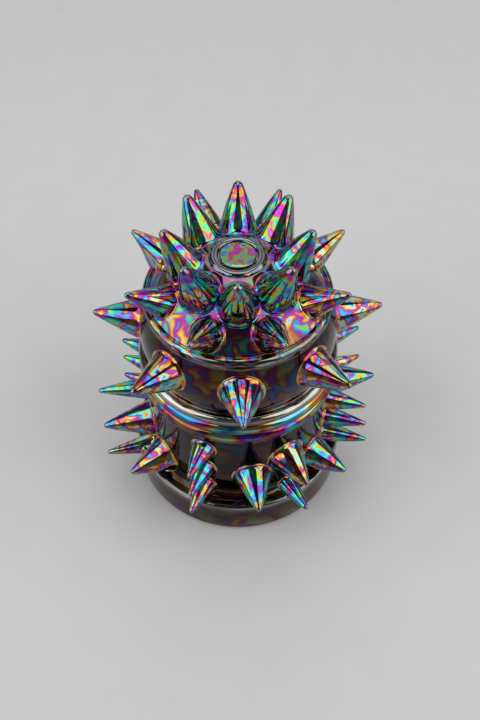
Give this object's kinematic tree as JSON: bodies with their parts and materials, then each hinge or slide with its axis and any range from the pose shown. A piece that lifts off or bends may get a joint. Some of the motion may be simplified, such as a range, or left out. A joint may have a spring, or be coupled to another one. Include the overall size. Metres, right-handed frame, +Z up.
{
  "type": "hand grinder",
  "caption": "Hand-held spiked iridised-glass grinder with a turning lift-off lid, toothed grinding bowl and catch jar.",
  "frame": {"origin": "middle of the circle of the face the foot stands on", "axes": "+Z up the turning axis, from the foot to the crown; front towards -Y; +X to the right seen from the front"},
  "size_m": [0.0966, 0.0914, 0.1092],
  "materials": {
    "lid_glass": "mirror-bright iridised black glass, with oil-film colours in soft patches",
    "jar_glass": "mirror-bright iridised black glass, gold, pink and teal round the foot",
    "collar_glass": "mirror-bright iridised black glass, silver to pink-gold",
    "spike_glass": "mirror-bright iridised smoke glass, clear grey at the tip",
    "cutter_metal": "satin, turned and dark anodised",
    "tooth_metal": "ground",
    "magnet_plating": "nickel plated",
    "cover_metal": "brushed",
    "bond": "cured silicone, matt",
    "seal_rubber": "matt",
    "glide_plastic": "natural nylon"
  },
  "bodies": {
    "base": {"base_cup": "jar_glass", "base_foot": "jar_glass", "base_large_spikes": "spike_glass", "base_small_spikes": "spike_glass"},
    "bowl": {"middle_collar": "collar_glass", "collar_bond_sleeve": "bond", "cutter_bowl": "cutter_metal", "bowl_teeth": "tooth_metal", "bowl_magnet": "magnet_plating", "bowl_magnet_cover": "cover_metal", "plug_seal_ring": "seal_rubber"},
    "glide": {"glide_ring": "glide_plastic"},
    "lid": {"lid_shell": "lid_glass", "crown_ring": "lid_glass", "crown_button": "lid_glass", "crown_spikes": "spike_glass", "shoulder_spikes": "spike_glass", "band_spikes": "spike_glass", "lid_bond_sleeve": "bond", "lid_cutter": "cutter_metal", "lid_teeth": "tooth_metal", "lid_magnet": "magnet_plating", "lid_magnet_cover": "cover_metal"}
  },
  "joints": [
    {"name": "bowl_lift", "type": "slide", "parent": "base", "child": "bowl", "axis": [0, 0, 1], "range_m": [0, 0.03]},
    {"name": "lid_lift", "type": "slide", "parent": "bowl", "child": "glide", "axis": [0, 0, 1], "range_m": [0, 0.03]},
    {"name": "lid_spin", "type": "hinge", "parent": "glide", "child": "lid", "pos_m": [0, 0, 0.0572], "axis": [0, 0, 1], "continuous": true}
  ]
}
